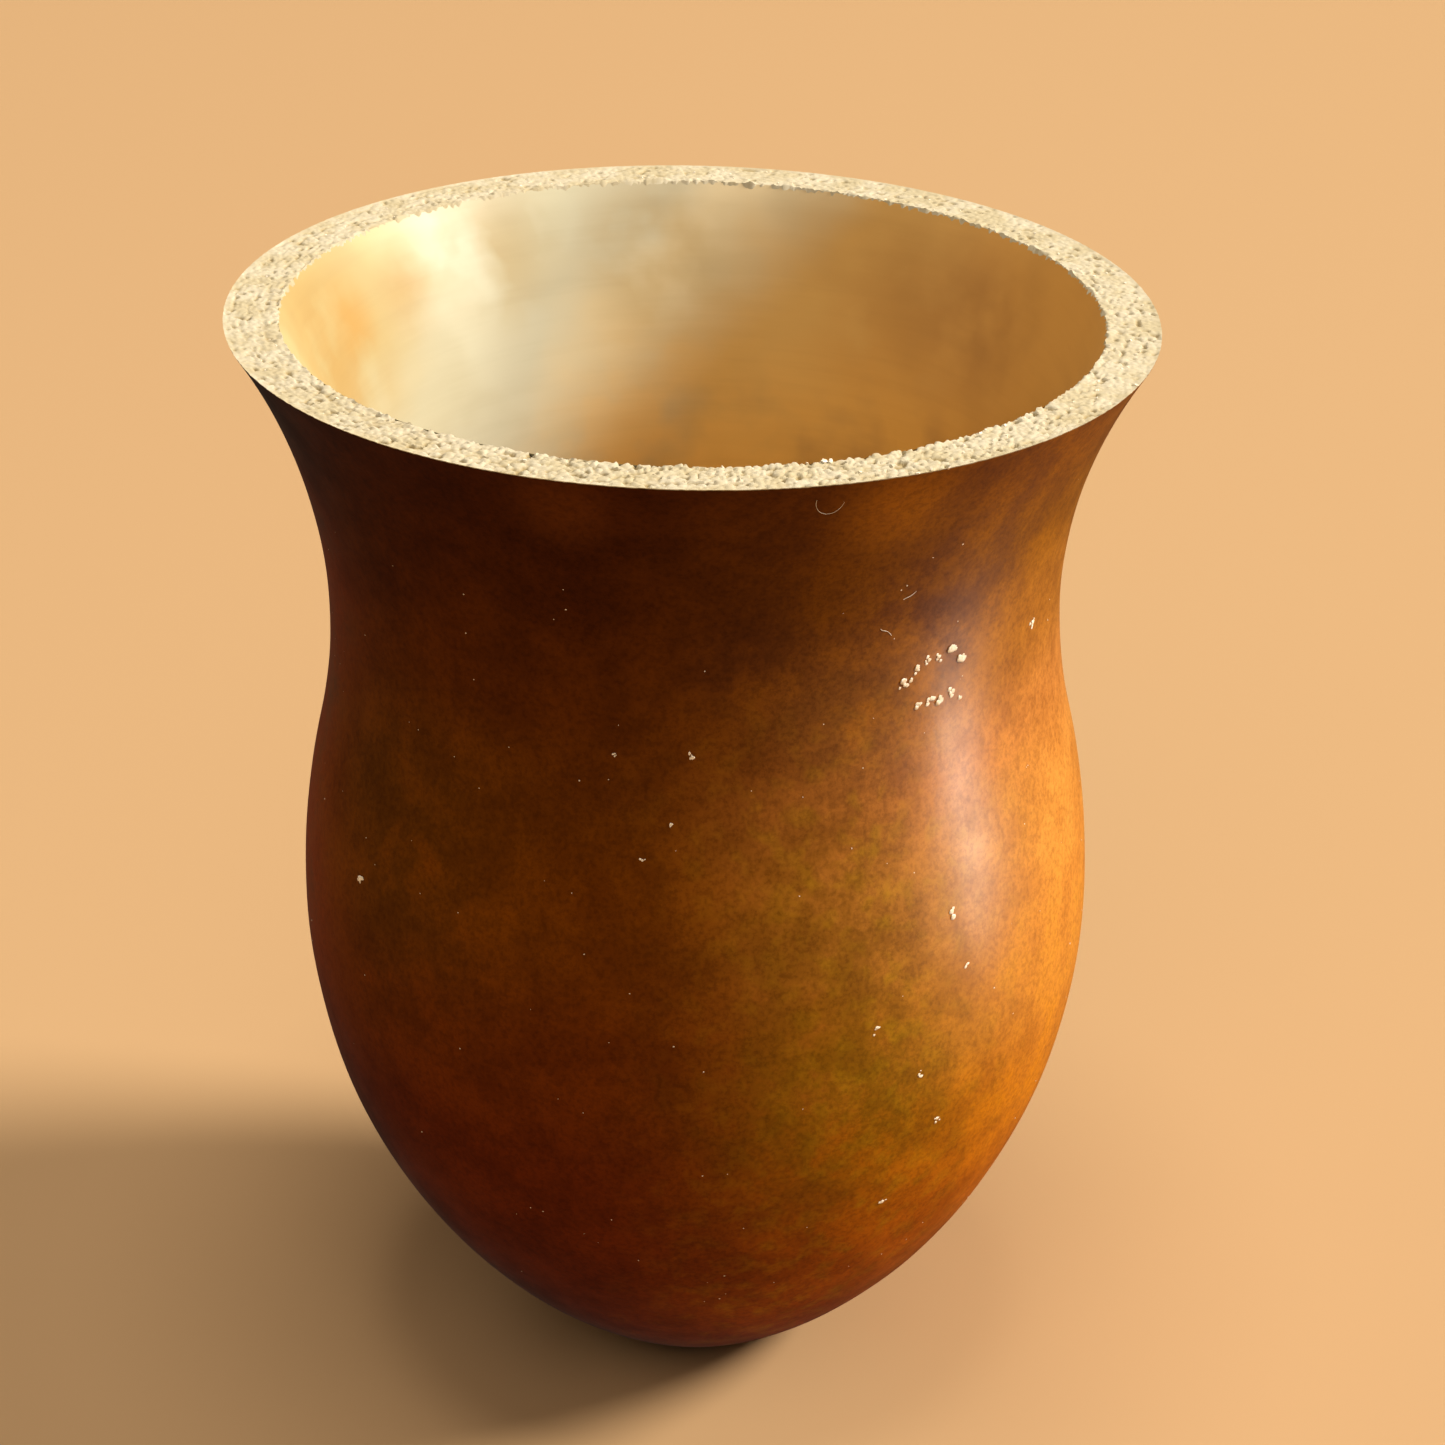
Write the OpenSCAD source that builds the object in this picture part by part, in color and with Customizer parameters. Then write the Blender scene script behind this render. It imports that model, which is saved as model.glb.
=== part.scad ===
// Gourd cup: a dried calabash, sawn open across its upper swelling and sanded flat underneath.
// Its wall grew in three layers that meet face to face: the hard skin, the spongy wall and the lining.
// The woody stem runs through the base as a plug, flush with the foot and proud inside the hollow.
// Millimetres. Z is the cup's axis, the foot stands on z = 0 and -Y faces the viewer of the photo.

/* [Outside shape] */
// Width across the mouth, over the skin
rim_d = 80; // [76:1:88]
// Height of the middle of the sawn rim above the table
height = 101.2; // [94:0.2:112]
// Width across the belly, over the skin
belly_d = 71.5; // [66:0.5:76]
// Height of the belly's widest part, as a share of the cup's height
belly_at = 0.457; // [0.42:0.001:0.48]
// How far the waist draws in from the belly on each side
waist_in = 3.4; // [2:0.1:5]
// Height of the waist, as a share of the cup's height
waist_at = 0.74; // [0.71:0.01:0.78]
// Width of the sanded foot, to the outside of the skin
foot_d = 20; // [16:0.5:26]

/* [Wall layers] */
// Thickness of the hard brown skin
rind_t = 0.6; // [0.4:0.1:1.2]
// Thickness of the pale spongy wall
pith_t = 3; // [2:0.1:5]
// Thickness of the inner lining
lining_t = 0.5; // [0.3:0.1:1]
// Height of the spongy wall above the table in the middle of the base
floor_t = 4.5; // [4:0.1:8]

/* [Rim] */
// Tilt of the hand-sawn rim in degrees, low on the +X side
rim_tilt = 1.2; // [0:0.1:3]

/* [Foot and stem] */
// Height of the skin's worn lower edge above the table
skin_wear = 0.3; // [0.1:0.1:0.6]
// Width of the stem's scar in the foot
stem_d = 7; // [6:0.5:9]
// Width of the stem's end inside the cup
nub_d = 5; // [3:0.5:6]
// Height of the stem's end above the lining
nub_h = 0.8; // [0.4:0.1:2]

/* [Hidden] */

rim_r = rim_d / 2;
belly_r = belly_d / 2;
waist_r = belly_r - waist_in;
foot_r = foot_d / 2;
stem_r = stem_d / 2;
nub_r = nub_d / 2;
waist_z = height * waist_at;
belly_z = height * belly_at;

// Depth below the skin at which the lining begins
lining_in = rind_t + pith_t;
// Depth below the skin of the hollow's surface
hollow_in = lining_in + lining_t;

// The lip is an arc that is upright at the waist and runs out through the rim
lip_rise = height - waist_z;
lip_flare = rim_r - waist_r;
lip_arc_r = (lip_rise ^ 2 + lip_flare ^ 2) / (2 * lip_flare);
lip_c = [waist_r + lip_arc_r, waist_z];

// The shoulder is an arc that is upright at the belly and meets the lip's arc without a corner
shoulder_rise = waist_z - belly_z;
shoulder_arc_r = (shoulder_rise ^ 2 + waist_in ^ 2) / (2 * waist_in) - lip_arc_r;
shoulder_c = [belly_r - shoulder_arc_r, belly_z];
shoulder_turn = atan2(shoulder_rise, lip_c.x - shoulder_c.x);

// The bowl is an arc that is upright at the belly and runs in to the foot's edge
tuck = belly_r - foot_r;
bowl_arc_r = (belly_z ^ 2 + tuck ^ 2) / (2 * tuck);
bowl_c = [belly_r - bowl_arc_r, belly_z];

// The hollow's floor is an arc about the axis that meets the bowl's inside without a corner
bowl_in_r = bowl_arc_r - lining_in;
floor_drop = belly_z - floor_t;
floor_arc_r = (bowl_in_r ^ 2 - floor_drop ^ 2 - bowl_c.x ^ 2) / (2 * (bowl_in_r - floor_drop));
floor_c = [0, floor_t + floor_arc_r];
floor_turn = atan2(floor_c.y - belly_z, -bowl_c.x);

// The shell is drawn past the rim by this much, for the saw to cut
saw_spare = 4;
saw_top = height + saw_spare;

// Steps along each arc
lip_steps = 10;
shoulder_steps = 7;
bowl_steps = 12;
floor_steps = 5;
nub_steps = 5;
$fn = 36;

assert(shoulder_arc_r > hollow_in, "The belly is too wide for the waist's height above it.");
assert(floor_arc_r > stem_r, "The floor is too thin for the stem.");

// Points of an arc, from one angle to another
function arc(c, r, from, to, steps) =
    [for (i = [0 : steps])
        let (a = from + (to - from) * i / steps)
        c + r * [cos(a), sin(a)]];

function reversed(points) = [for (i = [len(points) - 1 : -1 : 0]) points[i]];

function without_first(points) = [for (i = [1 : len(points) - 1]) points[i]];

// The wall's line at a depth below the skin, from the top to the belly
function upper_line(depth) =
    let (
        lip_r = lip_arc_r + depth,
        lip_top = 180 - asin((saw_top - waist_z) / lip_r)
    )
    concat(
        arc(lip_c, lip_r, lip_top, 180 + shoulder_turn, lip_steps),
        without_first(arc(shoulder_c, shoulder_arc_r - depth, shoulder_turn, 0, shoulder_steps))
    );

// The same line on to a level near the table
function outer_line(depth, low_z) =
    let (
        bowl_r = bowl_arc_r - depth,
        bowl_end = -asin((belly_z - low_z) / bowl_r)
    )
    concat(upper_line(depth), without_first(arc(bowl_c, bowl_r, 0, bowl_end, bowl_steps)));

// The same line on across the hollow's floor to the axis
function hollow_line(depth) =
    concat(
        upper_line(depth),
        without_first(arc(bowl_c, bowl_arc_r - depth, 0, floor_turn, bowl_steps)),
        without_first(arc(floor_c, floor_arc_r - (depth - lining_in), floor_turn, -90, floor_steps))
    );

// Everything above the saw cut
module above_rim() {
    reach = rim_d;
    translate([0, 0, height])
        rotate([0, rim_tilt, 0])
            translate([-reach, -reach, 0])
                cube([2 * reach, 2 * reach, reach]);
}

// The stem, tapering up from the foot to a low dome inside the hollow
module stem() {
    dome_h = nub_h / 2;
    dome_z = floor_t + lining_t + nub_h - dome_h;
    dome = [for (i = [0 : nub_steps])
        let (a = 90 * i / nub_steps)
        [nub_r * cos(a), dome_z + dome_h * sin(a)]];
    rotate_extrude()
        polygon(concat([[0, 0], [stem_r, 0]], dome));
}

// The hard brown skin, worn back a little above the table
module outer_rind() {
    color([0.33, 0.16, 0.05])
        difference() {
            rotate_extrude()
                polygon(concat(
                    outer_line(0, skin_wear),
                    reversed(outer_line(rind_t, skin_wear))
                ));
            above_rim();
        }
}

// The pale spongy wall, which stands on the table and holds the stem
module pith_wall() {
    color([0.90, 0.80, 0.55])
        difference() {
            rotate_extrude()
                polygon(concat(
                    outer_line(rind_t, 0),
                    [[0, 0]],
                    reversed(hollow_line(lining_in))
                ));
            above_rim();
            stem();
        }
}

// The thin smooth skin of the hollow
module inner_lining() {
    color([0.76, 0.54, 0.24])
        difference() {
            rotate_extrude()
                polygon(concat(
                    hollow_line(lining_in),
                    reversed(hollow_line(hollow_in))
                ));
            above_rim();
            stem();
        }
}

// The woody remains of the stem
module stem_plug() {
    color([0.42, 0.28, 0.14])
        stem();
}

outer_rind();
pith_wall();
inner_lining();
stem_plug();
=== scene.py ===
# %% [markdown]
# # A cup made from a dried gourd
# The real cup is one grown shell. Its wall has three layers: a hard brown skin, a pale spongy wall
# and a thin inner lining. The woody stem runs through the base. The CAD frame holds these as four
# solids, so the first step loads that frame, and every piece made here takes its place in it.

import math

import bpy
import numpy as np
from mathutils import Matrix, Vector, noise


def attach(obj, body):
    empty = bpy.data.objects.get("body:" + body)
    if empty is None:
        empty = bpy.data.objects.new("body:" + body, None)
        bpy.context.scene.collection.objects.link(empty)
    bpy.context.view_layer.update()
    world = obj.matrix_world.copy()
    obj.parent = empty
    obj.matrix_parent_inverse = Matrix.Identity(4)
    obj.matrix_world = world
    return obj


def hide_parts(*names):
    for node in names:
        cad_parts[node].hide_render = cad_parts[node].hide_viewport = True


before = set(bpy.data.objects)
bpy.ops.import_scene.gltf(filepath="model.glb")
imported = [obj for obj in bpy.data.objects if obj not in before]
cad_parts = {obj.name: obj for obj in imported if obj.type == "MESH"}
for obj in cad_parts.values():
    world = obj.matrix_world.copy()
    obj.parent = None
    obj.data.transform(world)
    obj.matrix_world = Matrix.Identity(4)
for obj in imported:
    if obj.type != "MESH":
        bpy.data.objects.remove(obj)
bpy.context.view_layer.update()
MM = 0.001

# %% [markdown]
# ## The cup's sizes
# The outline is three arcs that run into each other without a corner: the flaring lip, the shoulder
# and the bowl. It could be drawn as a freehand curve, but arcs keep the few sizes that a maker would
# measure. They are those of the CAD model.

# %% Sizes of the shell
RIM_R = 40 * MM
HEIGHT = 101.2 * MM
BELLY_R = 35.75 * MM
WAIST_R = BELLY_R - 3.4 * MM
FOOT_R = 10 * MM
WAIST_Z = 0.74 * HEIGHT
BELLY_Z = 0.457 * HEIGHT
RIND_T = 0.6 * MM
PITH_T = 3 * MM
LINING_T = 0.5 * MM
FLOOR_T = 4.5 * MM
SKIN_WEAR = 0.3 * MM
STEM_R = 3.5 * MM
NUB_R = 2.5 * MM
NUB_H = 0.8 * MM
RIM_TILT = math.radians(1.2)
LINING_IN = RIND_T + PITH_T
HOLLOW_IN = LINING_IN + LINING_T

LIP_ARC_R = ((HEIGHT - WAIST_Z) ** 2 + (RIM_R - WAIST_R) ** 2) / (2 * (RIM_R - WAIST_R))
LIP_C = (WAIST_R + LIP_ARC_R, WAIST_Z)
SWELL = BELLY_R - WAIST_R
SHOULDER_RISE = WAIST_Z - BELLY_Z
SHOULDER_ARC_R = (SHOULDER_RISE ** 2 + SWELL ** 2) / (2 * SWELL) - LIP_ARC_R
SHOULDER_C = (BELLY_R - SHOULDER_ARC_R, BELLY_Z)
SHOULDER_TURN = math.atan2(SHOULDER_RISE, LIP_C[0] - SHOULDER_C[0])
TUCK = BELLY_R - FOOT_R
BOWL_ARC_R = (BELLY_Z ** 2 + TUCK ** 2) / (2 * TUCK)
BOWL_C = (BELLY_R - BOWL_ARC_R, BELLY_Z)
BOWL_IN_R = BOWL_ARC_R - LINING_IN
FLOOR_DROP = BELLY_Z - FLOOR_T
FLOOR_ARC_R = (BOWL_IN_R ** 2 - FLOOR_DROP ** 2 - BOWL_C[0] ** 2) / (2 * (BOWL_IN_R - FLOOR_DROP))
FLOOR_C = (0, FLOOR_T + FLOOR_ARC_R)
FLOOR_TURN = math.atan2(FLOOR_C[1] - BELLY_Z, -BOWL_C[0])
print(f"arcs in mm: lip {LIP_ARC_R / MM:.1f}, shoulder {SHOULDER_ARC_R / MM:.1f}, bowl {BOWL_ARC_R / MM:.1f}")

# %% [markdown]
# Each layer of the wall follows the same outline, only deeper below the skin. So one set of functions
# gives the line of every layer, as a list of radius and height, and neighbours always fit.

# %% Lines of the layers


def arc(centre, radius, start, end, step):
    """Points of an arc, about one step apart."""
    count = max(2, round(abs(end - start) * radius / step))
    return [(centre[0] + radius * math.cos(start + (end - start) * i / count),
             centre[1] + radius * math.sin(start + (end - start) * i / count))
            for i in range(count + 1)]


def upper_line(depth, step):
    """A layer's line from the rim to the belly."""
    lip_r = LIP_ARC_R + depth
    lip_top = math.pi - math.asin((HEIGHT - WAIST_Z) / lip_r)
    lip = arc(LIP_C, lip_r, lip_top, math.pi + SHOULDER_TURN, step)
    shoulder = arc(SHOULDER_C, SHOULDER_ARC_R - depth, SHOULDER_TURN, 0, step)
    return lip + shoulder[1:]


def outer_line(depth, low_z, step):
    """A layer's line from the rim down to a level near the foot."""
    bowl_r = BOWL_ARC_R - depth
    bowl_end = -math.asin((BELLY_Z - low_z) / bowl_r)
    return upper_line(depth, step) + arc(BOWL_C, bowl_r, 0, bowl_end, step)[1:]


def hollow_line(depth, step):
    """A layer's line from the rim down to the middle of the hollow's floor."""
    bowl = arc(BOWL_C, BOWL_ARC_R - depth, 0, FLOOR_TURN, step)
    floor = arc(FLOOR_C, FLOOR_ARC_R - (depth - LINING_IN), FLOOR_TURN, -math.pi / 2, step)
    return upper_line(depth, step) + bowl[1:] + floor[1:]


def rim_radius(depth, z=HEIGHT):
    """A layer's radius in the lip, at the rim or a little below it."""
    return LIP_C[0] - math.sqrt((LIP_ARC_R + depth) ** 2 - (z - WAIST_Z) ** 2)


print(f"the mouth is {2 * rim_radius(HOLLOW_IN) / MM:.1f} mm wide inside")

# %% [markdown]
# ## The camera
# The rim's ellipse and the outline fix where the photographer stood: a little above the cup, about
# 30 cm away, looking down at 26 degrees through a lens of about 90 mm on a full frame.

# %% Camera
CAMERA_AT = (2.5 * MM, -291.9 * MM, HEIGHT + 105.7 * MM)
CAMERA_PITCH = math.radians(26.46)
PHOTO_WIDTH = 1445
FOCAL_PIXELS = 3600
FULL_FRAME = 36
camera_data = bpy.data.cameras.new("camera")
camera_data.sensor_width = FULL_FRAME
camera_data.lens = FULL_FRAME * FOCAL_PIXELS / PHOTO_WIDTH
camera = bpy.data.objects.new("camera", camera_data)
camera.location = CAMERA_AT
camera.rotation_euler = (math.pi / 2 - CAMERA_PITCH, 0, 0)
bpy.context.scene.collection.objects.link(camera)
bpy.context.scene.camera = camera
print(f"lens {camera_data.lens:.1f} mm")

# %% [markdown]
# ## Helpers for materials
# Colours are written as the hex values a painter would pick on a screen, and one function turns them
# into the linear values that Blender mixes. Another adds a shader node, sets it, links it and gives
# back its output, so each material reads as a list of its layers. A Mix node for colours keeps them in
# numbered sockets, which get names here, and so do its two ways of mixing.

# %% Material helpers
MIX_SHARE, MIX_UNDER, MIX_OVER, MIX_RESULT = 0, 6, 7, 2
COVER = {"data_type": "RGBA", "blend_type": "MIX"}
DARKEN = {"data_type": "RGBA", "blend_type": "MULTIPLY"}


def linear(hex_colour):
    """An sRGB hex colour as linear red, green, blue and alpha."""
    channels = [int(hex_colour[i:i + 2], 16) / 255 for i in (1, 3, 5)]
    return [c / 12.92 if c <= 0.04045 else ((c + 0.055) / 1.055) ** 2.4 for c in channels] + [1]


def add_node(tree, kind, inputs, output=0, stops=(), **settings):
    """Add a node, set and link it, and give back one of its outputs.

    Each input is a value, or the output that feeds it. Stops are a ramp's (place, hex colour) pairs.
    """
    node = tree.nodes.new(kind)
    for name, value in settings.items():
        setattr(node, name, value)
    for key, value in inputs.items():
        if isinstance(value, bpy.types.NodeSocket):
            tree.links.new(value, node.inputs[key])
        else:
            node.inputs[key].default_value = value
    if stops:
        ramp = node.color_ramp
        ramp.interpolation = "EASE"
        while len(ramp.elements) < len(stops):
            ramp.elements.new(0.5)
        for element, (place, hex_colour) in zip(ramp.elements, stops):
            element.position = place
            element.color = linear(hex_colour)
    return node.outputs[output]


def new_material(name):
    """A material with one Principled shader, and the place on the piece that its patterns follow."""
    material = bpy.data.materials.new(name)
    material.use_nodes = True
    tree = material.node_tree
    place = add_node(tree, "ShaderNodeTexCoord", {}, "Object")
    return material, tree, tree.nodes["Principled BSDF"], place


print(f"the grey #808080 is {linear('#808080')[0]:.3f} in linear light")

# %% [markdown]
# ## The floor
# The stage is a plain pale floor of warm, matt paper. It is kept out of the gloss, because a bright
# floor that is mirrored in the skin would lie as a veil on the cup's dark side. The room round it is
# dim, so that shade stays shade, but the camera sees it as a pale wall.

# %% Floor and room
FLOOR_SIZE = 6
ROOM_LIGHT, ROOM_SEEN = 0.10, 0.75
bpy.ops.object.select_all(action="DESELECT")
bpy.ops.mesh.primitive_plane_add(size=FLOOR_SIZE)
floor = bpy.context.object
floor.name = "floor"
floor_material, _, shader, _ = new_material("matte_paper")
shader.inputs["Base Color"].default_value = linear("#b1926c")
shader.inputs["Roughness"].default_value = 1
shader.inputs["Specular IOR Level"].default_value = 0
floor.data.materials.append(floor_material)
floor.visible_glossy = False

world = bpy.data.worlds.new("studio")
world.use_nodes = True
bpy.context.scene.world = world
background = world.node_tree.nodes["Background"]
background.inputs["Color"].default_value = linear("#f0dcc0")
seen = add_node(world.node_tree, "ShaderNodeLightPath", {}, "Is Camera Ray")
room_strength = add_node(world.node_tree, "ShaderNodeMapRange",
                         {"Value": seen, "To Min": ROOM_LIGHT, "To Max": ROOM_SEEN})
world.node_tree.links.new(room_strength, background.inputs["Strength"])
print(f"floor {FLOOR_SIZE} m wide")

# %% [markdown]
# ## The light
# The photo's light comes from the right and a little behind the cup, so the front lies in soft shade,
# the right flank glows and the left of the hollow is lit. A large key light far off does that. A wide
# fill opens the shade, and a light from above reaches down into the hollow. Weak lights behind and on
# the left keep the far sides from going black. The upright highlight on the shoulder is the reflection
# of a low strip, which shows only in the gloss and casts no glow.

# %% Lights


def add_light(name, azimuth, elevation, distance, size, power, colour):
    """An area light that points at the cup; azimuth runs from +X towards +Y, in degrees."""
    data = bpy.data.lights.new(name, "AREA")
    data.shape = "ELLIPSE"
    data.size, data.size_y = size
    data.energy = power
    data.color = linear(colour)[:3]
    light = bpy.data.objects.new(name, data)
    turn = math.radians(azimuth)
    rise = math.radians(elevation)
    light.location = (distance * math.cos(rise) * math.cos(turn),
                      distance * math.cos(rise) * math.sin(turn),
                      distance * math.sin(rise) + HEIGHT / 2)
    light.rotation_euler = (math.pi / 2 - rise, 0, turn + math.pi / 2)
    light.visible_camera = False
    bpy.context.scene.collection.objects.link(light)
    print(f"{name} light: {power} W")
    return light


add_light("key", 2, 34, 6.4, (1.92, 1.92), 792, "#fff4e6")
add_light("fill", -95, 50, 3.0, (2.2, 2.2), 28, "#fff0e0")
add_light("top", -90, 86, 2.4, (1.0, 1.0), 28, "#fff4e6")
add_light("back", 104, 34, 3.0, (1.6, 1.6), 9, "#fff0e0")
add_light("left", 178, 30, 3.0, (1.6, 1.6), 9, "#ffe0c0")
strip = add_light("strip", -14, -2, 0.14, (0.020, 0.07), 0.53, "#f6f0e8")
strip.visible_diffuse = False

# %% [markdown]
# ## Helpers for meshes
# A turned shape is drawn as half of its section, one vertex after another, and spun round the axis. A
# cylinder could be scaled ring by ring instead, but a drawn section keeps the outline of its layer.

# %% Drawing and spinning a section
MERGE_GAP = 0.005 * MM


def select_only(piece):
    """Make one object the selected and active one."""
    bpy.ops.object.select_all(action="DESELECT")
    piece.select_set(True)
    bpy.context.view_layer.objects.active = piece


def spin_outline(name, outline, turns):
    """Draw a closed half section and spin it round the cup's axis."""
    bpy.ops.object.select_all(action="DESELECT")
    bpy.ops.mesh.primitive_plane_add(size=1 * MM)
    piece = bpy.context.object
    piece.name = name
    bpy.ops.object.mode_set(mode="EDIT")
    bpy.ops.mesh.merge(type="CENTER")
    bpy.ops.transform.translate(value=(outline[0][0], 0, outline[0][1]))
    for (r0, z0), (r1, z1) in zip(outline, outline[1:] + outline[:1]):
        bpy.ops.mesh.extrude_vertices_move(TRANSFORM_OT_translate={"value": (r1 - r0, 0, z1 - z0)})
    bpy.ops.mesh.select_all(action="SELECT")
    bpy.ops.mesh.spin(steps=turns, angle=2 * math.pi, center=(0, 0, 0), axis=(0, 0, 1))
    bpy.ops.mesh.select_all(action="SELECT")
    bpy.ops.mesh.remove_doubles(threshold=MERGE_GAP)
    bpy.ops.mesh.normals_make_consistent(inside=False)
    bpy.ops.object.mode_set(mode="OBJECT")
    return piece


print(f"points closer than {MERGE_GAP / MM:.3f} mm are merged")

# %% [markdown]
# Some faces are shaped point by point: the points are read as an array, moved, and put back. The rim was
# sawn by hand and is not quite level: it falls to the right. Tilting the whole cup would lift its foot,
# so only the lip is sheared, which also leaves its plan round.

# %% Moving points and finishing a piece


def points_of(piece):
    """The mesh's points as an array."""
    points = np.empty(len(piece.data.vertices) * 3)
    piece.data.vertices.foreach_get("co", points)
    return points.reshape(-1, 3)


def move_points(piece, points):
    """Put the mesh's points where the array says."""
    piece.data.vertices.foreach_set("co", points.ravel())
    piece.data.update()


def smooth(values, low, high):
    """Rise smoothly from 0 at low to 1 at high."""
    share = np.clip((values - low) / (high - low), 0, 1)
    return share * share * (3 - 2 * share)


def rim_drop(points):
    """How far the hand-sawn rim's slope lowers each point; it fades out at the waist."""
    return points[:, 0] * math.tan(RIM_TILT) * smooth(points[:, 2], WAIST_Z, HEIGHT)


def tilt_rim(piece):
    """Shear the lip so that the rim falls to the right."""
    points = points_of(piece)
    points[:, 2] -= rim_drop(points)
    move_points(piece, points)


def finish_piece(piece, material, sharp_angle):
    """Shade the piece, give it its material and let it ride with the cup."""
    select_only(piece)
    bpy.ops.object.shade_smooth_by_angle(angle=math.radians(sharp_angle))
    piece.data.materials.clear()
    piece.data.materials.append(material)
    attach(piece, "root")
    print(piece.name, len(piece.data.polygons), "faces")


print(f"the rim falls {2 * RIM_R * math.tan(RIM_TILT) / MM:.1f} mm from left to right")

# %% [markdown]
# ## The skin's finish
# The skin is a gourd's rind, dried hard and rubbed with oil, which leaves a satin shine. Upwards it
# darkens from red brown at the foot and tan at the belly to nearly black brown at the lip. The right
# side is golden, partly in its own colour and partly with painted light: the glow of the key light
# on the right flank is painted into it, and the front is kept dark with painted shade. One noise over
# the whole skin couldn't tell these apart, so one ramp runs up the front and one up the golden side,
# and a wavy share leads from one to the other.

# %% Rind colours by height and side
rind, tree, shader, place = new_material("oiled_gourd_rind")
CLOUD_SIZE = 22 * MM
CLOUD_RISE = 8 * MM
CLOUD_DRIFT = 12 * MM
# The side on which the gold grows points towards the key light, so that gold is partly painted light.
GOLDEN_LIT_SIDE = (0.93, 0.37, 0)
BROWN_UNTIL, GOLDEN_FROM = -22 * MM, 27 * MM
clouds = add_node(tree, "ShaderNodeTexNoise",
                  {"Vector": place, "Scale": 1 / CLOUD_SIZE, "Detail": 3, "Roughness": 0.55})
height = add_node(tree, "ShaderNodeSeparateXYZ", {"Vector": place}, "Z")
wavy_height = add_node(tree, "ShaderNodeMath",
                       {0: clouds, 1: CLOUD_RISE, 2: height}, operation="MULTIPLY_ADD")
height_share = add_node(tree, "ShaderNodeMapRange",
                        {"Value": wavy_height, "From Min": CLOUD_RISE / 2,
                         "From Max": HEIGHT + CLOUD_RISE / 2})
# The front ramp is kept dark with painted shade as well as the rind's own brown.
front = add_node(tree, "ShaderNodeValToRGB", {"Fac": height_share},
                 stops=[(0.05, "#5c1e00"), (0.20, "#602300"), (0.33, "#622500"),
                        (0.45, "#6a2f00"), (0.58, "#743c00"), (0.68, "#6e3a00"),
                        (0.78, "#5e2d00"), (0.87, "#502400"), (0.96, "#461e00")])
# The golden ramp holds painted light, the glow of the key light on the right flank, as well as the rind's own
# gold.
golden = add_node(tree, "ShaderNodeValToRGB", {"Fac": height_share},
                  stops=[(0.05, "#bc5c00"), (0.20, "#c87004"), (0.35, "#cc7e0a"),
                         (0.46, "#c68428"), (0.58, "#c88a3a"), (0.69, "#c4803a"),
                         (0.78, "#b07224"), (0.88, "#945c0a"), (0.97, "#965a0a")])
sideways = add_node(tree, "ShaderNodeVectorMath",
                    {0: place, 1: GOLDEN_LIT_SIDE}, "Value", operation="DOT_PRODUCT")
wavy_side = add_node(tree, "ShaderNodeMath",
                     {0: clouds, 1: CLOUD_DRIFT, 2: sideways}, operation="MULTIPLY_ADD")
golden_lit_share = add_node(tree, "ShaderNodeMapRange",
                        {"Value": wavy_side, "From Min": CLOUD_DRIFT / 2 + BROWN_UNTIL,
                         "From Max": CLOUD_DRIFT / 2 + GOLDEN_FROM}, interpolation_type="SMOOTHSTEP")
colour = add_node(tree, "ShaderNodeMix",
                  {MIX_SHARE: golden_lit_share, MIX_UNDER: front, MIX_OVER: golden}, MIX_RESULT, **COVER)
print("rind: brown in front, golden on the side", GOLDEN_LIT_SIDE)

# %% [markdown]
# Stains make it this one gourd. Each is a soft patch about a point on the skin, in millimetres: olive
# on the left and low on the right, a plum bloom under the lip, orange by the rim and at the foot. The
# warm brown on the far left is painted light, warm bounce light on that dim side, and the gold on the
# far right is painted light as well, the glow where the key light falls. Noise breaks their edges,
# because a clean round spot would look painted.

# %% Stains on the rind
STAIN_CORE = 0.1
STAIN_GONE, STAIN_FULL = 0.32, 0.54
MOTTLE_SIZE = 6 * MM
RIND_STAINS_AND_GLOWS = [
    ((-27, -20, 60), 24, 0.40, "#543a06"),
    ((14, -33, 42), 18, 0.75, "#8a6404"),
    ((12, -33, 60), 15, 0.55, "#82580c"),
    ((19, -27, 85), 13, 0.45, "#5a2a16"),
    ((6, -32, 82), 10, 0.25, "#482620"),
    ((17, -35, 97), 8, 0.80, "#b8760a"),
    ((-10, -38, 98), 7, 0.60, "#78400a"),
    ((-13, -31, 30), 20, 0.25, "#6a2c00"),
    ((16, -21, 24), 12, 0.50, "#b05c00"),
    ((14, -30, 76), 10, 0.40, "#785028"),
    # Painted light: a bright gold glow on the far right flank, where the key light falls.
    ((34, -9, 50), 28, 0.50, "#f0a044"),
    # Painted light: two warm brown patches on the far left paint warm bounce light on that dim side.
    ((-35, 4, 80), 28, 0.90, "#a84a00"),
    ((-36, 4, 50), 30, 0.90, "#b04e00"),
]


def add_stain_or_painted_light(tree, place, ragged, under, at, radius, strength, hex_colour):
    """Lay a soft patch over a colour, for a stain and also for painted light and shade: round about a point
    in millimetres, and broken up by noise.
    """
    centre = [c * MM for c in at]
    away = add_node(tree, "ShaderNodeVectorMath", {0: place, 1: centre}, "Value", operation="DISTANCE")
    soft = add_node(tree, "ShaderNodeMapRange",
                    {"Value": away, "From Min": radius * MM, "From Max": STAIN_CORE * radius * MM,
                     "To Max": strength}, interpolation_type="SMOOTHSTEP")
    broken = add_node(tree, "ShaderNodeMapRange",
                      {"Value": ragged, "From Min": STAIN_GONE, "From Max": STAIN_FULL})
    share = add_node(tree, "ShaderNodeMath", {0: soft, 1: broken}, operation="MULTIPLY")
    return add_node(tree, "ShaderNodeMix",
                    {MIX_SHARE: share, MIX_UNDER: under, MIX_OVER: linear(hex_colour)}, MIX_RESULT, **COVER)


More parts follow.
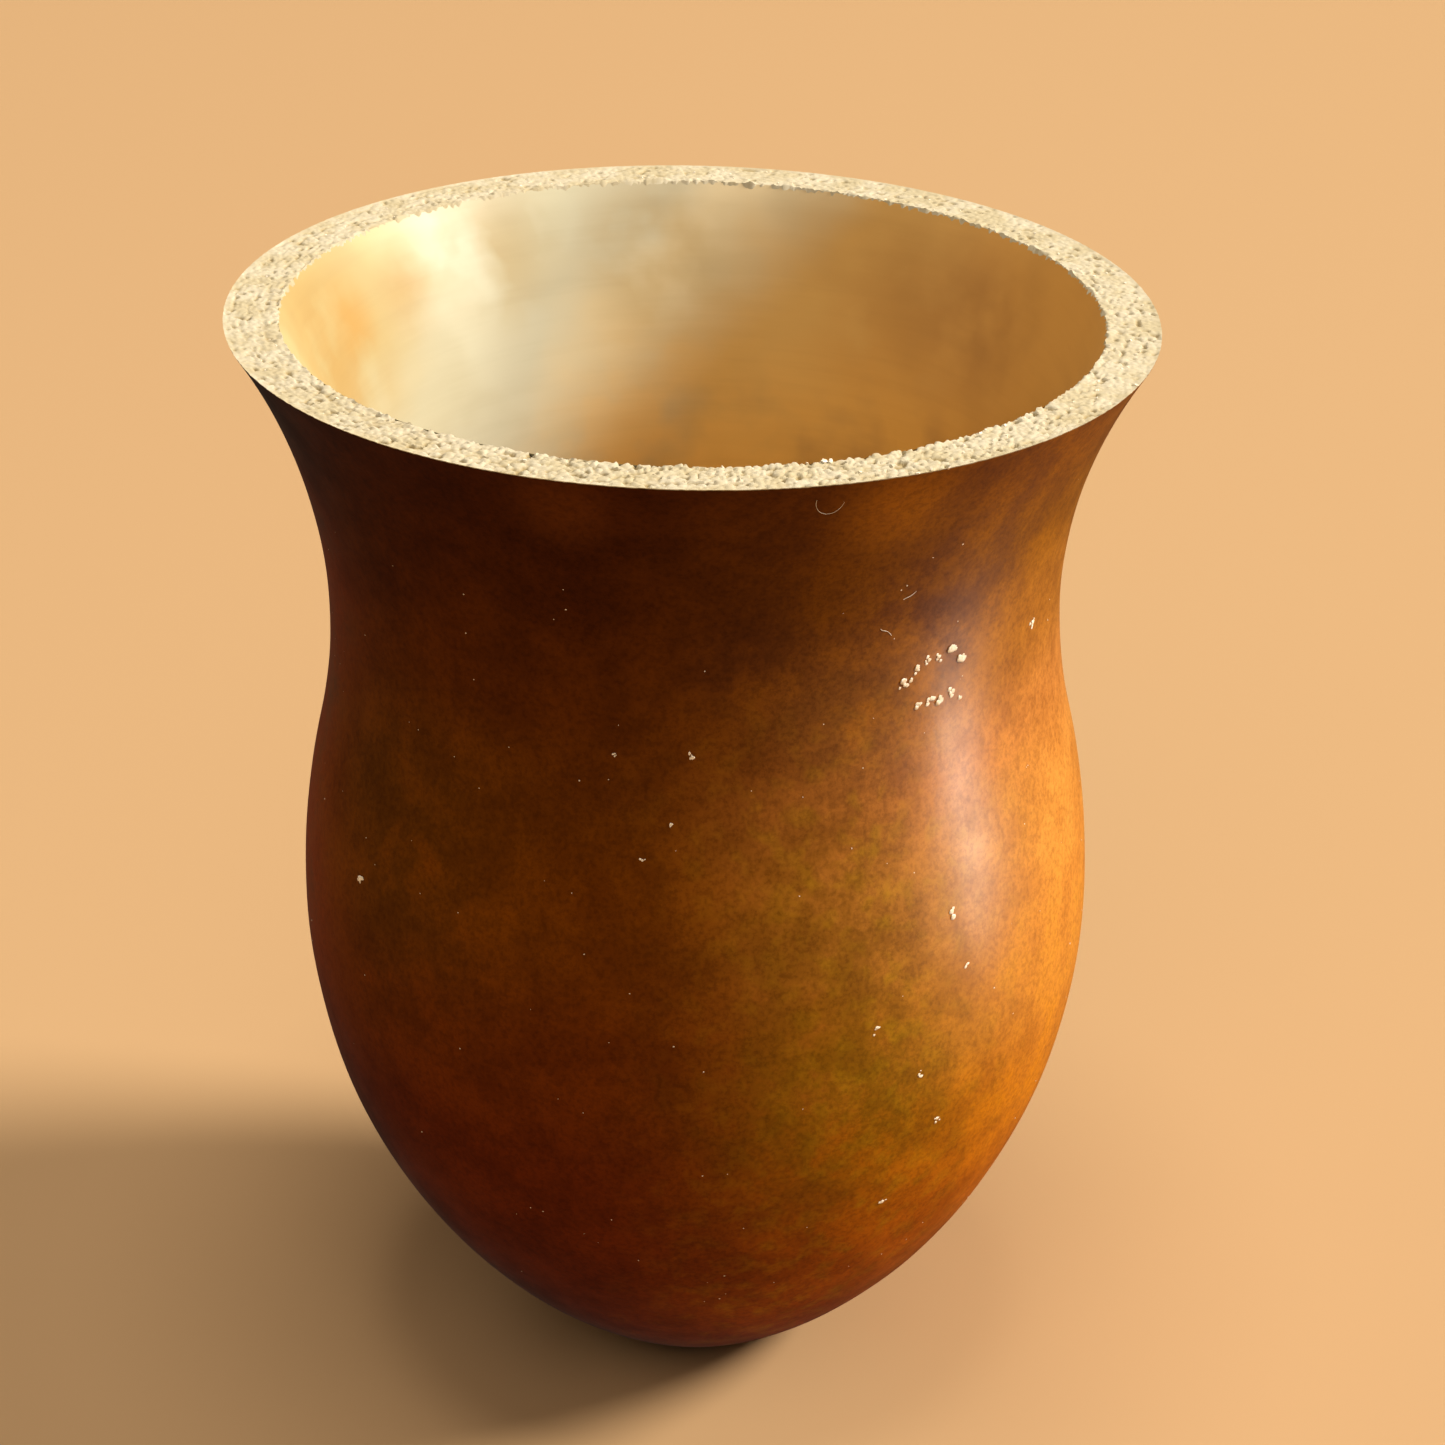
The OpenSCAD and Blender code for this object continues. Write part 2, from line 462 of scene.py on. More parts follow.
mottle = add_node(tree, "ShaderNodeTexNoise",
                  {"Vector": place, "Scale": 1 / MOTTLE_SIZE, "Detail": 5, "Roughness": 0.72})
for at, radius, strength, hex_colour in RIND_STAINS_AND_GLOWS:
    colour = add_stain_or_painted_light(tree, place, mottle, colour, at, radius, strength, hex_colour)
print(len(RIND_STAINS_AND_GLOWS), "stains on the rind")

# %% [markdown]
# Finer patterns lie over the whole skin: olive flecks of about 2 mm where the brown turns golden below
# the waist, a mottling of about 6 mm, and a leathery speckle of half a millimetre.

# %% Flecks, mottling and speckle
FLECK_SIZE = 2 * MM
FLECKS_END, FLECKS_FULL = 82 * MM, 66 * MM
SPECKLE_SIZE = 0.5 * MM
flecks = add_node(tree, "ShaderNodeTexNoise", {"Vector": place, "Scale": 1 / FLECK_SIZE, "Detail": 2})
fleck_share = add_node(tree, "ShaderNodeMapRange", {"Value": flecks, "From Min": 0.48, "From Max": 0.70})
turning = add_node(tree, "ShaderNodeMath", {0: golden_lit_share, 1: 0.5}, operation="PINGPONG")
below_waist = add_node(tree, "ShaderNodeMapRange",
                       {"Value": height, "From Min": FLECKS_END, "From Max": FLECKS_FULL})
turning = add_node(tree, "ShaderNodeMath", {0: turning, 1: below_waist}, operation="MULTIPLY")
fleck_share = add_node(tree, "ShaderNodeMath", {0: fleck_share, 1: turning}, operation="MULTIPLY")
colour = add_node(tree, "ShaderNodeMix",
                  {MIX_SHARE: fleck_share, MIX_UNDER: colour, MIX_OVER: linear("#9c780c")},
                  MIX_RESULT, **COVER)
mottle_tone = add_node(tree, "ShaderNodeValToRGB", {"Fac": mottle},
                       stops=[(0.32, "#ffffff"), (0.66, "#cec4b8")])
colour = add_node(tree, "ShaderNodeMix",
                  {MIX_SHARE: 0.85, MIX_UNDER: colour, MIX_OVER: mottle_tone}, MIX_RESULT, **DARKEN)
speckle = add_node(tree, "ShaderNodeTexNoise",
                   {"Vector": place, "Scale": 1 / SPECKLE_SIZE, "Detail": 4, "Roughness": 0.7})
speckle_tone = add_node(tree, "ShaderNodeValToRGB", {"Fac": speckle},
                        stops=[(0.30, "#c8c4c0"), (0.62, "#ffffff")])
colour = add_node(tree, "ShaderNodeMix",
                  {MIX_SHARE: 0.7, MIX_UNDER: colour, MIX_OVER: speckle_tone}, MIX_RESULT, **DARKEN)
tree.links.new(colour, shader.inputs["Base Color"])
print("rind:", len(tree.nodes), "nodes for its colour")

# %% [markdown]
# Oil has soaked into the skin, so its shine is satin and weak, and the speckle and the mottling give the
# fine relief in which it breaks up. The index of 1.45 is that of oils and waxes.

# %% Shine of the rind
shine = add_node(tree, "ShaderNodeMapRange",
                 {"Value": mottle, "From Min": 0.3, "From Max": 0.7, "To Min": 0.32, "To Max": 0.40})
leather = add_node(tree, "ShaderNodeBump", {"Height": speckle, "Strength": 0.15, "Distance": 0.05 * MM})
dimples = add_node(tree, "ShaderNodeBump",
                   {"Height": mottle, "Strength": 0.2, "Distance": 0.15 * MM, "Normal": leather})
tree.links.new(shine, shader.inputs["Roughness"])
tree.links.new(dimples, shader.inputs["Normal"])
shader.inputs["IOR"].default_value = 1.45
shader.inputs["Specular IOR Level"].default_value = 0.05
print("rind:", len(tree.nodes), "nodes in all")

# %% [markdown]
# ## The skin
# Its outer face is drawn finely, because its gloss shows every wave, and its hidden inner face coarsely.
# Only its outermost film is brown: where the saw cut it, the hard part under the film is as pale as the
# sponge. So the film alone stands up to the rim, and the rim's piece covers the rest. A turned shape is
# too true for a fruit, so a Displace modifier swells it a little, except near the rim and the foot.

# %% Outer rind
FILM_T = 0.1 * MM
FILM_Z = HEIGHT - 0.6 * MM
FILM_TOP = HEIGHT - 0.12 * MM
FINE_STEP = 1.2 * MM
HIDDEN_STEP = 5 * MM
SKIN_TURNS = 384
WAVE_SIZE = 26 * MM
WAVE_HEIGHT = 0.5 * MM
WAVE_MIDDLE = 0.45
RIM_CALM, RIM_WAVY = 5 * MM, 25 * MM
FOOT_CALM, FOOT_WAVY = 1 * MM, 16 * MM
WEIGHT_STEPS = 20
SHARP = 40


def add_unevenness(piece, name, size, height, weights):
    """Swell and sink the surface a little, as a grown thing does; weights say how much, by point."""
    group = piece.vertex_groups.new(name=name)
    steps = np.round(weights * WEIGHT_STEPS).astype(int)
    for step in range(1, WEIGHT_STEPS + 1):
        group.add(np.flatnonzero(steps == step).tolist(), step / WEIGHT_STEPS, "REPLACE")
    texture = bpy.data.textures.new(name, "CLOUDS")
    texture.noise_scale = size
    texture.noise_depth = 2
    select_only(piece)
    bpy.ops.object.modifier_add(type="DISPLACE")
    displace = piece.modifiers[-1]
    displace.texture = texture
    displace.texture_coords = "LOCAL"
    displace.strength = height
    displace.mid_level = WAVE_MIDDLE
    displace.vertex_group = group.name
    bpy.ops.object.modifier_apply(modifier=displace.name)


skin_outline = ([(rim_radius(0, FILM_TOP), FILM_TOP)]
                + outer_line(0, SKIN_WEAR, FINE_STEP)[1:]
                + [p for p in outer_line(RIND_T, SKIN_WEAR, HIDDEN_STEP)[::-1] if p[1] < FILM_Z]
                + [(rim_radius(RIND_T, FILM_Z), FILM_Z), (rim_radius(FILM_T, FILM_Z), FILM_Z),
                   (rim_radius(FILM_T, FILM_TOP), FILM_TOP)])
skin = spin_outline("outer_skin", skin_outline, SKIN_TURNS)
tilt_rim(skin)
heights = points_of(skin)[:, 2]
away_from_rim = smooth(HEIGHT - heights, RIM_CALM, RIM_WAVY)
away_from_foot = smooth(heights, FOOT_CALM, FOOT_WAVY)
add_unevenness(skin, "skin_waves", WAVE_SIZE, WAVE_HEIGHT, away_from_rim * away_from_foot)
finish_piece(skin, rind, SHARP)
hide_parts("outer_rind")

# %% [markdown]
# ## The lining's finish
# The hollow was scraped and cured. What is left is a thin smooth skin, bone white on the left and honey
# brown on the right and in the depth, with soft stains that are strongest under the left rim. These
# colours are partly painted light: the pale bone paints the sheen on the back-left wall, and the honey
# brown begins where the key light's shadow falls in the hollow, so it paints shade there. As on the
# skin, a wavy share runs across it, and it leans, so that the honey colour wins towards the floor.

# %% Lining's colours
lining_material, tree, shader, place = new_material("cured_gourd_lining")
LINING_CLOUD_SIZE = 18 * MM
BLOT_SIZE = 7 * MM
LINING_DRIFT = 22 * MM
HONEY_SHADE_SIDE = (1, 0, -0.6)
HONEY_SHADE_LEVEL = 92 * MM
HONEY_SHADE_MIDDLE = LINING_DRIFT / 2 + HONEY_SHADE_SIDE[2] * HONEY_SHADE_LEVEL
LINING_STAINS_AND_LIGHT = [
    ((-34, 4, 94), 16, 0.70, "#b28e4c"),
    ((-29, 21, 95), 7, 0.80, "#b08a42"),
    ((-33, 12, 95), 6, 0.80, "#bc8a34"),
    ((-25, 25, 98), 6, 0.60, "#b08c4a"),
    # Painted shade: a dull patch under the back-left rim damps a hot spot of the key light.
    ((-20, 29, 96), 10, 0.80, "#a08c5c"),
    ((-30, -14, 88), 14, 0.45, "#b09458"),
    ((-4, 34, 94), 12, 0.60, "#a68a52"),
    ((22, 24, 90), 16, 0.50, "#b07a34"),
    # Painted light as well as honey colour: two bright gold patches lighten the low back wall, which lies in
    # shade.
    ((0, 30, 70), 24, 0.80, "#f0b85c"),
    ((20, 24, 70), 24, 0.90, "#ecb04c"),
    ((26, 16, 94), 10, 0.60, "#9c6a2c"),
    ((0, 0, 10), 40, 0.60, "#b48a48"),
]
clouds = add_node(tree, "ShaderNodeTexNoise", {"Vector": place, "Scale": 1 / LINING_CLOUD_SIZE, "Detail": 3})
blots = add_node(tree, "ShaderNodeTexNoise",
                 {"Vector": place, "Scale": 1 / BLOT_SIZE, "Detail": 3, "Roughness": 0.45})
sideways = add_node(tree, "ShaderNodeVectorMath",
                    {0: place, 1: HONEY_SHADE_SIDE}, "Value", operation="DOT_PRODUCT")
wavy_side = add_node(tree, "ShaderNodeMath",
                     {0: clouds, 1: LINING_DRIFT, 2: sideways}, operation="MULTIPLY_ADD")
honey_shade_share = add_node(tree, "ShaderNodeMapRange",
                      {"Value": wavy_side, "From Min": HONEY_SHADE_MIDDLE - RIM_R,
                       "From Max": HONEY_SHADE_MIDDLE + RIM_R})
# The ramp is partly painted light: its pale bone stops paint a sheen on the back-left wall, and its honey
# stops paint the shade beyond the key light's shadow edge, over the lining's own colours.
colour = add_node(tree, "ShaderNodeValToRGB", {"Fac": honey_shade_share},
                  stops=[(0.05, "#b8a876"), (0.20, "#bebca2"), (0.38, "#b0ac94"),
                         (0.50, "#c8b68e"), (0.64, "#cea258"), (0.88, "#c48e40")])
for at, radius, strength, hex_colour in LINING_STAINS_AND_LIGHT:
    colour = add_stain_or_painted_light(tree, place, blots, colour, at, radius, strength, hex_colour)
cloud_tone = add_node(tree, "ShaderNodeValToRGB", {"Fac": clouds},
                      stops=[(0.38, "#d6cab4"), (0.56, "#ffffff")])
colour = add_node(tree, "ShaderNodeMix",
                  {MIX_SHARE: 0.35, MIX_UNDER: colour, MIX_OVER: cloud_tone}, MIX_RESULT, **DARKEN)
print(len(LINING_STAINS_AND_LIGHT), "stains on the lining")

# %% [markdown]
# The scraper went round the hollow and left faint level streaks. They could be modelled, but they are
# hardly deeper than a hair, so a noise that is stretched sideways gives them as tone and bump.

# %% Scraping marks and sheen of the lining
SCRAPE_LONG, SCRAPE_WIDE = 18 * MM, 1.6 * MM
along = add_node(tree, "ShaderNodeMapping",
                 {"Vector": place, "Scale": (1 / SCRAPE_LONG, 1 / SCRAPE_LONG, 1 / SCRAPE_WIDE)},
                 vector_type="POINT")
scrapes = add_node(tree, "ShaderNodeTexNoise", {"Vector": along, "Scale": 1, "Detail": 3, "Roughness": 0.6})
scrape_tone = add_node(tree, "ShaderNodeValToRGB", {"Fac": scrapes},
                       stops=[(0.35, "#e2ddd4"), (0.60, "#ffffff")])
colour = add_node(tree, "ShaderNodeMix",
                  {MIX_SHARE: 0.15, MIX_UNDER: colour, MIX_OVER: scrape_tone}, MIX_RESULT, **DARKEN)
dents = add_node(tree, "ShaderNodeBump", {"Height": blots, "Strength": 0.2, "Distance": 0.2 * MM})
scraped = add_node(tree, "ShaderNodeBump",
                   {"Height": scrapes, "Strength": 0.06, "Distance": 0.02 * MM, "Normal": dents})
tree.links.new(colour, shader.inputs["Base Color"])
tree.links.new(scraped, shader.inputs["Normal"])
shader.inputs["Roughness"].default_value = 0.5
shader.inputs["IOR"].default_value = 1.45
print("lining:", len(tree.nodes), "nodes")

# %% [markdown]
# ## The lining
# It is spun like the skin, with its fine face towards the hollow, and closes over the floor in the
# middle. Its top stays just below the cut, so the torn rim overhangs it, as it does on the real cup.

# %% Lining
LINING_TOP = HEIGHT - 0.1 * MM
LINING_TURNS = 320
lining_outline = ([(rim_radius(HOLLOW_IN - FILM_T), LINING_TOP)]
                  + hollow_line(HOLLOW_IN, FINE_STEP)[1:]
                  + [p for p in hollow_line(LINING_IN, HIDDEN_STEP)[::-1] if p[1] < FILM_Z]
                  + [(rim_radius(LINING_IN, FILM_Z), FILM_Z),
                     (rim_radius(HOLLOW_IN - FILM_T, FILM_Z), FILM_Z)])
lining = spin_outline("hollow_lining", lining_outline, LINING_TURNS)
tilt_rim(lining)
finish_piece(lining, lining_material, SHARP)
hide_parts("inner_lining")

# %% [markdown]
# ## The spongy wall's finish
# Dried pith is a cream foam of dead cells: matt and pale where the saw broke it. Its pores are darkened
# with painted shade. How deep a place lies is stored on the mesh as "pore", so the painted shade follows
# the relief, which a noise of its own could not do.

# %% Pith's finish
pith_material, tree, shader, place = new_material("sawn_gourd_pith")
PATCH_SIZE = 3 * MM
CELL_SIZE = 0.4 * MM
pore = add_node(tree, "ShaderNodeAttribute", {}, "Fac", attribute_name="pore")
patches = add_node(tree, "ShaderNodeTexNoise", {"Vector": place, "Scale": 1 / PATCH_SIZE, "Detail": 3})
colour = add_node(tree, "ShaderNodeValToRGB", {"Fac": patches},
                  stops=[(0.38, "#bdb69f"), (0.64, "#b2a88a")])
cells = add_node(tree, "ShaderNodeTexNoise", {"Vector": place, "Scale": 1 / CELL_SIZE, "Detail": 3})
cell_share = add_node(tree, "ShaderNodeMapRange",
                      {"Value": cells, "From Min": 0.45, "From Max": 0.7, "To Max": 0.3})
colour = add_node(tree, "ShaderNodeMix",
                  {MIX_SHARE: cell_share, MIX_UNDER: colour, MIX_OVER: linear("#a69570")},
                  MIX_RESULT, **COVER)
# Painted shade: deep places of the torn rim and the foot's pores are darkened by their depth.
pore_shade = add_node(tree, "ShaderNodeMapRange",
                      {"Value": pore, "From Min": 0.2, "From Max": 0.9, "To Max": 0.8})
colour = add_node(tree, "ShaderNodeMix",
                  {MIX_SHARE: pore_shade, MIX_UNDER: colour, MIX_OVER: linear("#8c784a")},
                  MIX_RESULT, **COVER)
tree.links.new(colour, shader.inputs["Base Color"])
shader.inputs["Roughness"].default_value = 0.92
shader.inputs["Specular IOR Level"].default_value = 0.25
print("pith:", len(tree.nodes), "nodes")

# %% [markdown]
# ## The sawn rim
# The saw tore the sponge open, so the cut is all crumbs, gaps and holes of about half a millimetre. A
# bump in the material alone would leave the edges smooth, so the cut is a fine grid that is pitted point
# by point. The grid is a circle, extruded ring by ring across the cut, and bridged underneath.

# %% Grid of the sawn rim
RIM_SEGMENTS = 1800
RIM_RINGS = 34
SKIRT_Z = HEIGHT - 1.5 * MM
SKIRT_IN = 0.2 * MM
CUT_OUT = 0.03 * MM
CUT_IN = HOLLOW_IN - 0.1 * MM
RIM_WIDTH = (rim_radius(CUT_OUT) - rim_radius(CUT_IN)) / MM


def loft_rings(name, rings, segments):
    """Extrude a circle through a list of (radius, height) rings, and bridge the last ring to the first."""
    bpy.ops.object.select_all(action="DESELECT")
    bpy.ops.mesh.primitive_circle_add(vertices=segments, radius=rings[0][0])
    piece = bpy.context.object
    piece.name = name
    bpy.ops.object.mode_set(mode="EDIT")
    bpy.ops.transform.translate(value=(0, 0, rings[0][1]))
    for (r0, z0), (r1, z1) in zip(rings, rings[1:]):
        bpy.ops.mesh.extrude_edges_move(TRANSFORM_OT_translate={"value": (0, 0, z1 - z0)})
        bpy.ops.transform.resize(value=(r1 / r0, r1 / r0, 1), center_override=(0, 0, z1))
    bpy.ops.mesh.select_all(action="DESELECT")
    bpy.ops.mesh.select_non_manifold()
    bpy.ops.mesh.bridge_edge_loops()
    bpy.ops.mesh.select_all(action="SELECT")
    bpy.ops.mesh.normals_make_consistent(inside=False)
    bpy.ops.object.mode_set(mode="OBJECT")
    return piece


cut_depths = [CUT_OUT + (CUT_IN - CUT_OUT) * i / RIM_RINGS for i in range(RIM_RINGS + 1)]
rim_rings = ([(rim_radius(CUT_OUT + SKIRT_IN, SKIRT_Z), SKIRT_Z)]
             + [(rim_radius(depth), HEIGHT) for depth in cut_depths]
             + [(rim_radius(CUT_IN - SKIRT_IN, SKIRT_Z), SKIRT_Z)])
sawn_rim = loft_rings("sawn_rim", rim_rings, RIM_SEGMENTS)
print(f"the cut is {RIM_WIDTH:.2f} mm wide")

# %% [markdown]
# How deep a point lies comes from several noises, each for one thing that the saw did. Cells of a Voronoi
# noise are the crumbs, with gaps between them. Holes are pores that it opened. On the left the fibres
# broke along the rim, in rows of slits. The inner edge stands up in burrs, the skin holds the outer edge,
# and the front is torn the most. Sizes and depths are in millimetres, and a range says between which
# values of its noise, or which sides of the rim, a thing goes from none to full.

# %% How the saw tore the sponge
CRUMB_STRETCH, CRUMB_VARIETY = 1.3, 3.7
CRUMB_SIZE, CRUMB_RISE = 0.62, 0.07
GAP_DEPTH, GAP_RANGE = 0.07, (0.03, 0.32)
HOLE_SIZE, HOLE_DEPTH, HOLE_RANGE = 0.55, 0.18, (0.22, 0.55)
HOLE_SHIFT = Vector((9, 0, 0))
SLIT_LENGTH, SLIT_ROWS, SLIT_DEPTH, SLIT_RANGE = 2.6, 2.4, 0.07, (0.18, 0.45)
LEFT_RANGE = (0.2, 0.9)
BURR_SIZE, BURR_RISE, BURR_BAND = 0.8, 0.30, 1.2
SKIN_HOLD = 0.4
FRONT_EXTRA, FRONT_RANGE = 0.8, (0.3, 0.95)


def torn_sponge(turn, inward):
    """How deep, in millimetres, the torn face lies at a turn and a distance in from the outer edge."""
    ring = RIM_R / MM / CRUMB_STRETCH
    spot = Vector((ring * math.cos(turn), ring * math.sin(turn), inward))
    gaps, crumbs = noise.voronoi(spot / CRUMB_SIZE)
    gap = 1 - smooth(gaps[1] - gaps[0], *GAP_RANGE)
    hole = smooth(noise.noise(spot / HOLE_SIZE + HOLE_SHIFT), *HOLE_RANGE)
    row = Vector((spot.x / SLIT_LENGTH, spot.y / SLIT_LENGTH, inward * SLIT_ROWS))
    slit = smooth(noise.noise(row), *SLIT_RANGE) * smooth(-math.cos(turn), *LEFT_RANGE)
    crumb_height = noise.noise(crumbs[0] * CRUMB_VARIETY)
    burr = max(0, noise.noise(spot / BURR_SIZE)) * smooth(inward, RIM_WIDTH - BURR_BAND, RIM_WIDTH)
    held_by_skin = smooth(inward, 0, SKIN_HOLD)
    rougher_front = 1 + FRONT_EXTRA * smooth(-math.sin(turn), *FRONT_RANGE)
    relief = GAP_DEPTH * gap + HOLE_DEPTH * hole + SLIT_DEPTH * slit - CRUMB_RISE * crumb_height
    return relief * rougher_front * held_by_skin - BURR_RISE * burr


print(f"in the middle of the left rim the face lies {torn_sponge(math.pi, RIM_WIDTH / 2):.2f} mm deep")

# %% [markdown]
# Each point of the grid now sinks or rises by that depth, and the two edges get ragged in plan as well.

# %% Tear the rim
PORE_DEEP = 0.3
LEVEL = 0.01 * MM
RAGGED_SIZE = 0.45 * MM
INNER_RAGGED, OUTER_RAGGED = 0.16, 0.05
INNER_BAND, OUTER_BAND = 0.45, 0.25
TORN_SHARP = 60


def store_pores(piece, depth):
    """Keep on the mesh how deep each point lies, as a share of a deep pore."""
    layer = piece.data.attributes.new("pore", "FLOAT", "POINT")
    layer.data.foreach_set("value", np.clip(depth / PORE_DEEP, 0, 1))


points = points_of(sawn_rim)
radius = np.hypot(points[:, 0], points[:, 1])
turn = np.arctan2(points[:, 1], points[:, 0])
on_cut = points[:, 2] > HEIGHT - LEVEL
inward = (rim_radius(CUT_OUT) - radius) / MM
depth = np.zeros(len(points))
ragged = np.zeros(len(points))
for i in np.flatnonzero(on_cut):
    depth[i] = torn_sponge(turn[i], inward[i])
    ragged[i] = noise.noise(Vector((points[i][0], points[i][1], 0)) / RAGGED_SIZE)
inner_edge = smooth(inward, RIM_WIDTH - INNER_BAND, RIM_WIDTH) * on_cut
outer_edge = smooth(-inward, -OUTER_BAND, 0) * on_cut
radius_change = (INNER_RAGGED * inner_edge - OUTER_RAGGED * outer_edge) * ragged * MM
points[:, 0] += radius_change * np.cos(turn)
points[:, 1] += radius_change * np.sin(turn)
points[:, 2] -= depth * MM
points[:, 2] -= rim_drop(points)
move_points(sawn_rim, points)
store_pores(sawn_rim, depth)
print(f"the torn face runs from {-depth.min():.2f} mm above the cut to {depth.max():.2f} mm below it")
finish_piece(sawn_rim, pith_material, TORN_SHARP)

# %% [markdown]
# ## The wall and the foot
# Under the rim the wall is hidden between skin and lining, down to the sanded foot, where it shows again.
# Sandpaper closes the sponge, so the foot has fewer pores than the rim. Each is sunk into the flat face,
# and nothing stands below it, so the cup still rests on the foot.

# %% Wall and foot
HIDE = 0.15 * MM
WALL_STEP = 3 * MM
WALL_TURNS = 240
PORE_STEP = 0.25 * MM
FOOT_EDGE = 0.1 * MM
FOOT_PORE_SIZE, FOOT_PORE_DEPTH, FOOT_PORE_RANGE = 0.5, 0.28, (0.20, 0.5)
DISH_SIZE, DISH_DEPTH = 2.5, 0.06
wall_outside = [p for p in outer_line(RIND_T + HIDE, 0, WALL_STEP) if p[1] < SKIRT_Z]
wall_inside = [p for p in hollow_line(LINING_IN - HIDE, WALL_STEP)[::-1] if NUB_R < p[0] and p[1] < SKIRT_Z]
foot_r = wall_outside[-1][0]
foot_rings = round((foot_r - STEM_R) / PORE_STEP)
foot_face = [(foot_r + (STEM_R - foot_r) * i / foot_rings, 0) for i in range(1, foot_rings + 1)]
wall = spin_outline("spongy_wall", wall_outside + foot_face + wall_inside, WALL_TURNS)
points = points_of(wall)
depth = np.zeros(len(points))
radius = np.hypot(points[:, 0], points[:, 1])
on_face = (radius < foot_r - FOOT_EDGE) & (radius > STEM_R + FOOT_EDGE)
for i in np.flatnonzero((points[:, 2] < LEVEL) & on_face):
    spot = Vector(points[i]) / MM
    pit = smooth(noise.noise(spot / FOOT_PORE_SIZE), *FOOT_PORE_RANGE)
    depth[i] = FOOT_PORE_DEPTH * pit + DISH_DEPTH * (1 + noise.noise(spot / DISH_SIZE))
points[:, 2] += depth * MM
move_points(wall, points)
store_pores(wall, depth)
print(f"pores in the foot are up to {depth.max():.2f} mm deep")
finish_piece(wall, pith_material, SHARP)
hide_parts("pith_wall")

# %% [markdown]
# ## The stem's finish
# The stem is a woody plug of cork and fibre, matt and brown, with rings about a millimetre apart. A wave
# texture gives the rings, and its distortion makes them as uneven as grown ones. Cracks are darkened
# inside with painted shade.

# %% Stem's finish
stem_material, tree, shader, place = new_material("dried_gourd_stem")
RING_GAP = 0.9 * MM
# A wave texture of scale 1 repeats every 2 pi / 20
WAVE_SCALE = 2 * math.pi / 20 / RING_GAP
rings = add_node(tree, "ShaderNodeTexWave",
                 {"Vector": place, "Scale": WAVE_SCALE, "Distortion": 7, "Detail": 3},
                 "Fac", wave_type="RINGS", rings_direction="Z")
colour = add_node(tree, "ShaderNodeValToRGB", {"Fac": rings},
                  stops=[(0.2, "#5a3e20"), (0.8, "#94703e")])
crack_depth = add_node(tree, "ShaderNodeAttribute", {}, "Fac", attribute_name="pore")
# Painted shade: the deepest places, the cracks, are darkened by their depth.
crack_shade = add_node(tree, "ShaderNodeMapRange", {"Value": crack_depth, "From Min": 0.3, "From Max": 1})
colour = add_node(tree, "ShaderNodeMix",
                  {MIX_SHARE: crack_shade, MIX_UNDER: colour, MIX_OVER: linear("#2a1a0c")},
                  MIX_RESULT, **COVER)
tree.links.new(colour, shader.inputs["Base Color"])
shader.inputs["Roughness"].default_value = 0.85
print("stem:", len(tree.nodes), "nodes")

# %% [markdown]
# ## The stem
# It was cut off flush with the foot. Drying shrank it, so its end is sunk between its rings and cracked
# from the middle outwards. Its other end is a low knob on the floor of the hollow. It is spun like the
# wall, and then its two ends are roughened point by point, the knob only half as deep.

# %% Stem
STEM_RINGS = 28
KNOB_RINGS = 12
STEM_TURNS = 120
KNOB_Z = FLOOR_T + LINING_T + NUB_H / 2
RING_DEPTH, RING_WANDER = 0.08, 1.5
CRACK_WAVES, CRACK_DEPTH, CRACK_WANDER = 2.5, 0.30, 1.2
CRACK_HALF, CRACK_END = 0.05, 0.35
STEM_EDGE = 0.5
KNOB_SHARE = -0.5
knob_turns = [math.pi / 2 * i / KNOB_RINGS for i in range(KNOB_RINGS + 1)]
stem_outline = ([(STEM_R * i / STEM_RINGS, 0) for i in range(STEM_RINGS + 1)]
                + [(NUB_R * math.cos(a), KNOB_Z + NUB_H / 2 * math.sin(a)) for a in knob_turns])
stem = spin_outline("cracked_stem", stem_outline, STEM_TURNS)
points = points_of(stem)
depth = np.zeros(len(points))
for i in np.flatnonzero((points[:, 2] < LEVEL) | (points[:, 2] > KNOB_Z)):
    spot = Vector(points[i]) / MM
    out = math.hypot(spot.x, spot.y)
    around = math.atan2(spot.y, spot.x)
    ring = 0.5 + 0.5 * math.cos(2 * math.pi * MM / RING_GAP * out + 2 * noise.noise(spot / RING_WANDER))
    beside_crack = abs(math.sin(CRACK_WAVES * around + noise.noise(spot / CRACK_WANDER))) * out
    crack = 1 - smooth(beside_crack, CRACK_HALF, CRACK_END)
    whole_edge = smooth(STEM_R / MM - out, 0, STEM_EDGE)
    depth[i] = (RING_DEPTH * ring + CRACK_DEPTH * crack) * whole_edge
inside = np.where(points[:, 2] > KNOB_Z, KNOB_SHARE, 1)
points[:, 2] += depth * inside * MM
move_points(stem, points)
store_pores(stem, depth)
print(f"cracks in the stem are up to {depth.max():.2f} mm deep")
finish_piece(stem, stem_material, SHARP)
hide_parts("stem_plug")

# %% [markdown]
# ## Dust and crumbs
# The cup has just been sawn. Specks of pith sit on the skin in small clumps, mostly on the right
# shoulder, crumbs lie along the rim, and fine dust is everywhere. The larger ones have their places in
# lists: a turn from the front, in degrees, with a height or a distance in from the outer edge, in
# millimetres, and the crumb's size. The dust is scattered at random, from a fixed seed.

